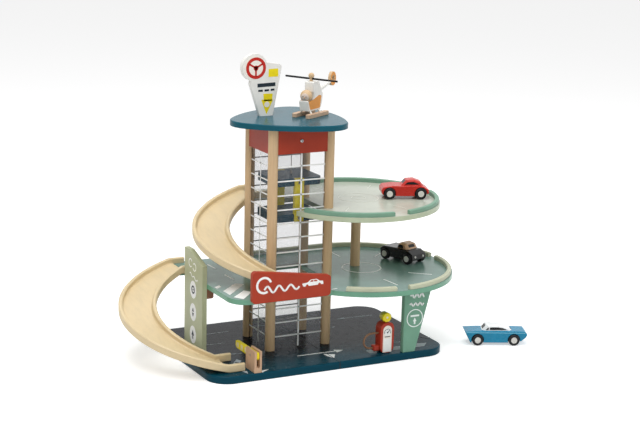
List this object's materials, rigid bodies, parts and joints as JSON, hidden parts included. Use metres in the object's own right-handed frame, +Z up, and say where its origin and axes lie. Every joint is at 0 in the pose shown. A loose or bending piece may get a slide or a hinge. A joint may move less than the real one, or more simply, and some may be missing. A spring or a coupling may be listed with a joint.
{
  "type": "toy parking garage",
  "caption": "Wooden toy parking garage: two decks around a crank lift tower, curved ramps, a rooftop helipad with helicopter, signs, fuel pump, barrier and toy cars.",
  "frame": {"origin": "underside of the base boards, on the centre line of the lift shaft", "axes": "+Z up, +X from the ramps towards the round decks, -Y towards the front with the long sign"},
  "size_m": [0.6683, 0.309, 0.4836],
  "materials": {
    "road_board": "printed satin lacquer",
    "natural_wood": "clear satin lacquer",
    "teal_board": "satin paint",
    "red_board": "satin paint",
    "clear_sheet": "polished acrylic sheet",
    "white_board": "satin paint",
    "lower_deck_board": "satin paint with printed bays",
    "upper_deck_board": "satin paint with printed bays",
    "pale_rail": "satin paint",
    "green_rail": "satin paint",
    "ramp_moulding": "satin lacquer",
    "sage_board": "satin paint",
    "red_brown_wood": "satin paint",
    "green_board": "satin paint",
    "yellow_wood": "gloss paint",
    "steel": "bright screw",
    "white_cord": "braided cord",
    "pump_paint": "satin paint",
    "red_trim": "satin paint",
    "hose_rubber": "matt hose",
    "orange_wood": "satin paint",
    "heli_paint": "satin paint",
    "black_rod": "satin paint",
    "red_car_paint": "gloss paint",
    "black_car_paint": "gloss paint",
    "blue_car_paint": "gloss paint",
    "wheel_black": "satin paint with pale hubs"
  },
  "bodies": {
    "garage": {"base_left": "road_board", "base_right": "road_board", "base_dowels": "natural_wood", "tower_post_front_left": "natural_wood", "tower_post_front_right": "natural_wood", "tower_post_back_left": "natural_wood", "tower_post_back_right": "natural_wood", "deck_post": "natural_wood", "barrier_block": "natural_wood", "roof_deck": "teal_board", "header_front": "red_board", "header_back": "red_board", "header_sides": "red_board", "long_sign": "red_board", "windows": "clear_sheet", "roof_sign": "white_board", "lower_deck": "lower_deck_board", "upper_deck": "upper_deck_board", "lower_deck_rails": "pale_rail", "upper_deck_rails": "green_rail", "upper_ramp": "ramp_moulding", "lower_ramp": "ramp_moulding", "tall_sign": "sage_board", "sign_bracket": "red_brown_wood", "support_sign": "green_board", "pump_globe": "yellow_wood", "post_screws": "steel", "bracket_screw": "steel", "barrier_pin": "steel", "lift_cord": "white_cord", "pump_body": "pump_paint", "pump_nozzle": "red_trim", "pump_hose": "hose_rubber"},
    "lift": {"lift_floor": "teal_board", "lift_roof": "teal_board", "lift_bars": "yellow_wood", "lift_screws": "steel", "cord_knot": "white_cord"},
    "crank": {"winch_drum": "natural_wood", "crank_wheel": "red_board", "axle_screw": "steel", "cord_winding": "white_cord"},
    "barrier": {"barrier_arm": "yellow_wood"},
    "helicopter": {"helicopter_body": "heli_paint", "helicopter_pilot": "natural_wood", "helicopter_tail": "heli_paint", "helicopter_tail_ring": "orange_wood", "helicopter_skids": "natural_wood"},
    "rotor": {"helicopter_rotor": "black_rod", "helicopter_hub": "natural_wood"},
    "red_car": {"red_car_body": "red_car_paint"},
    "red_car_front_axle": {"red_car_front_wheels": "wheel_black"},
    "red_car_rear_axle": {"red_car_rear_wheels": "wheel_black"},
    "black_car": {"black_car_body": "black_car_paint"},
    "black_car_front_axle": {"black_car_front_wheels": "wheel_black"},
    "black_car_rear_axle": {"black_car_rear_wheels": "wheel_black"},
    "blue_car": {"blue_car_body": "blue_car_paint"},
    "blue_car_front_axle": {"blue_car_front_wheels": "wheel_black"},
    "blue_car_rear_axle": {"blue_car_rear_wheels": "wheel_black"}
  },
  "joints": [
    {"name": "lift_slide", "type": "slide", "parent": "garage", "child": "lift", "axis": [0, 0, 1], "range_m": [-0.207, 0.0076], "deforming": ["lift_cord"]},
    {"name": "crank_turn", "type": "hinge", "parent": "garage", "child": "crank", "pos_m": [-0.0025, 0, 0.353], "axis": [0, -1, 0], "continuous": true},
    {"name": "barrier_swing", "type": "hinge", "parent": "garage", "child": "barrier", "pos_m": [-0.116, -0.123, 0.037], "axis": [1, 0, 0], "range_deg": [0, 80]},
    {"name": "helicopter_lift_off", "type": "slide", "parent": "garage", "child": "helicopter", "axis": [0, 0, 1], "range_m": [0, 0.06]},
    {"name": "rotor_spin", "type": "hinge", "parent": "helicopter", "child": "rotor", "pos_m": [0.036, 0, 0.443], "axis": [0, 0, 1], "continuous": true},
    {"name": "red_car_drive", "type": "slide", "parent": "garage", "child": "red_car", "axis": [-0.9336, 0.3584, 0], "range_m": [-0.005, 0.06]},
    {"name": "red_car_front_roll", "type": "hinge", "parent": "red_car", "child": "red_car_front_axle", "pos_m": [0.17773, -0.01168, 0.2492], "axis": [-0.3584, -0.9336, 0], "continuous": true},
    {"name": "red_car_rear_roll", "type": "hinge", "parent": "red_car", "child": "red_car_rear_axle", "pos_m": [0.22627, -0.03032, 0.2492], "axis": [-0.3584, -0.9336, 0], "continuous": true},
    {"name": "black_car_drive", "type": "slide", "parent": "garage", "child": "black_car", "axis": [-0.309, 0.9511, 0], "range_m": [-0.015, 0.04]},
    {"name": "black_car_front_roll", "type": "hinge", "parent": "black_car", "child": "black_car_front_axle", "pos_m": [0.20827, 0.02278, 0.1354], "axis": [-0.9511, -0.309, 0], "continuous": true},
    {"name": "black_car_rear_roll", "type": "hinge", "parent": "black_car", "child": "black_car_rear_axle", "pos_m": [0.22373, -0.02478, 0.1354], "axis": [-0.9511, -0.309, 0], "continuous": true},
    {"name": "blue_car_drive", "type": "slide", "parent": "garage", "child": "blue_car", "axis": [-0.9135, 0.4067, 0], "range_m": [-0.1, 0.05]},
    {"name": "blue_car_front_roll", "type": "hinge", "parent": "blue_car", "child": "blue_car_front_axle", "pos_m": [0.30264, -0.10609, 0.0096], "axis": [-0.4067, -0.9135, 0], "continuous": true},
    {"name": "blue_car_rear_roll", "type": "hinge", "parent": "blue_car", "child": "blue_car_rear_axle", "pos_m": [0.35836, -0.1309, 0.0096], "axis": [-0.4067, -0.9135, 0], "continuous": true}
  ],
  "couplings": [
    {"joint": "crank_turn", "follows": "lift_slide", "rad_per_m": 173.3}
  ]
}
